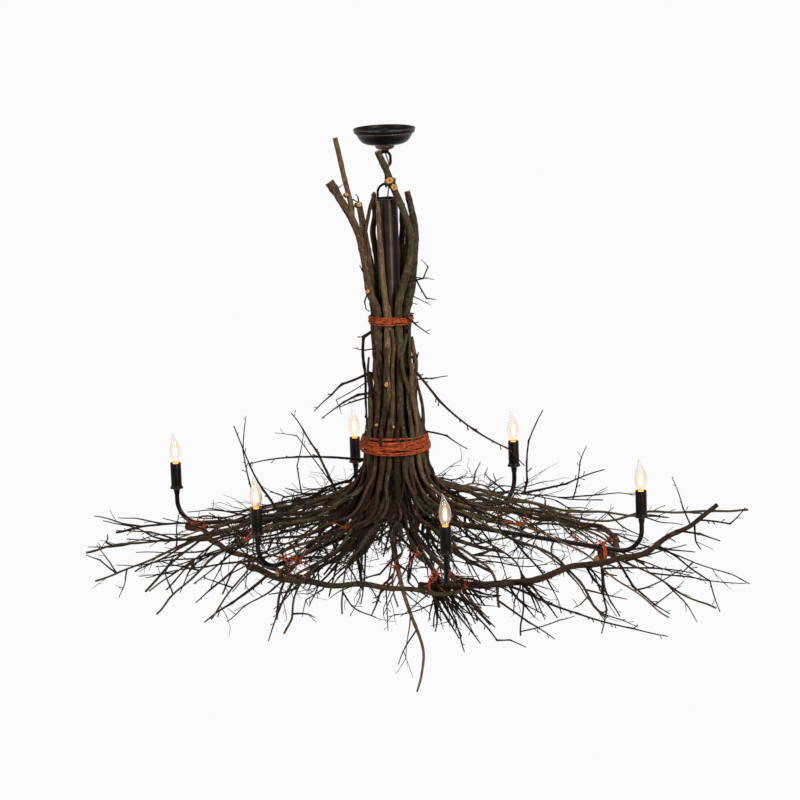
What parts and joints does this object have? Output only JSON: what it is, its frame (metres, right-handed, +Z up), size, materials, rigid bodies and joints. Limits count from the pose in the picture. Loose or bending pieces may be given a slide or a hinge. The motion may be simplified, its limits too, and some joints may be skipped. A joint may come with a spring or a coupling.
{
  "type": "branch chandelier",
  "caption": "Bundle of cut branches bound round a metal stem, flaring into a twig skirt over candle arms, hung from a round ceiling canopy by one link.",
  "frame": {"origin": "centre of the canopy's rim, on the ceiling plane", "axes": "+Z up, against the ceiling; -Y is the front, the side the picture shows; +X to the right seen from the front"},
  "size_m": [1.3457, 1.0741, 1.1476],
  "materials": {
    "dark_bronze": "oil-rubbed bronze, satin",
    "black_bronze": "black bronze, satin",
    "copper_bronze": "rubbed copper edge",
    "zinc_steel": "zinc plated",
    "socket_black": "matte",
    "wire_cover": "matte",
    "rusted_wire": "rusted",
    "bark": "rough bark",
    "bulb_glass": "clear",
    "bulb_brass": "satin"
  },
  "bodies": {
    "canopy": {"canopy_dish": "dark_bronze", "mounting_strap": "zinc_steel", "threaded_nipple": "zinc_steel", "locknuts": "zinc_steel", "screw_collar": "copper_bronze", "canopy_loop": "dark_bronze"},
    "chain_link": {"chain_link": "dark_bronze", "supply_wire_upper": "wire_cover"},
    "fixture": {"bail_hoop": "dark_bronze", "hoop_screws": "dark_bronze", "stem_tube": "dark_bronze", "hub_body": "dark_bronze", "cups": "black_bronze", "lamp_sockets": "socket_black", "candle_sleeves": "black_bronze", "supply_wire_lower": "wire_cover", "wire_bindings": "rusted_wire", "arm_1": "black_bronze", "arm_2": "black_bronze", "arm_3": "black_bronze", "arm_4": "black_bronze", "arm_5": "black_bronze", "arm_6": "black_bronze", "leader_left": "bark", "leader_right": "bark", "trunk_sticks": "bark", "skirt_right": "bark", "skirt_back_right": "bark", "skirt_back_left": "bark", "skirt_left": "bark", "skirt_front_left": "bark", "skirt_front_right": "bark", "edge_stick_left": "bark", "edge_stick_front_left": "bark", "edge_stick_front_right": "bark", "edge_stick_back_right": "bark", "edge_stick_back": "bark", "edge_stick_back_left": "bark"},
    "bulb_1": {"bulb_glass_1": "bulb_glass", "bulb_base_1": "bulb_brass"},
    "bulb_2": {"bulb_glass_2": "bulb_glass", "bulb_base_2": "bulb_brass"},
    "bulb_3": {"bulb_glass_3": "bulb_glass", "bulb_base_3": "bulb_brass"},
    "bulb_4": {"bulb_glass_4": "bulb_glass", "bulb_base_4": "bulb_brass"},
    "bulb_5": {"bulb_glass_5": "bulb_glass", "bulb_base_5": "bulb_brass"},
    "bulb_6": {"bulb_glass_6": "bulb_glass", "bulb_base_6": "bulb_brass"}
  },
  "joints": [
    {"name": "link_swing", "type": "hinge", "parent": "canopy", "child": "chain_link", "pos_m": [0, 0, -0.07725], "axis": [1, 0, 0], "range_deg": [-4, 4], "deforming": ["supply_wire_upper"]},
    {"name": "fixture_swing", "type": "hinge", "parent": "chain_link", "child": "fixture", "pos_m": [0, 0, -0.1143], "axis": [0, 1, 0], "range_deg": [-4, 4], "deforming": ["supply_wire_lower"]},
    {"name": "bulb_1_lift", "type": "slide", "parent": "fixture", "child": "bulb_1", "axis": [0, 0, 1], "range_m": [0, 0.03]},
    {"name": "bulb_2_lift", "type": "slide", "parent": "fixture", "child": "bulb_2", "axis": [0, 0, 1], "range_m": [0, 0.03]},
    {"name": "bulb_3_lift", "type": "slide", "parent": "fixture", "child": "bulb_3", "axis": [0, 0, 1], "range_m": [0, 0.03]},
    {"name": "bulb_4_lift", "type": "slide", "parent": "fixture", "child": "bulb_4", "axis": [0, 0, 1], "range_m": [0, 0.03]},
    {"name": "bulb_5_lift", "type": "slide", "parent": "fixture", "child": "bulb_5", "axis": [0, 0, 1], "range_m": [0, 0.03]},
    {"name": "bulb_6_lift", "type": "slide", "parent": "fixture", "child": "bulb_6", "axis": [0, 0, 1], "range_m": [0, 0.03]}
  ]
}
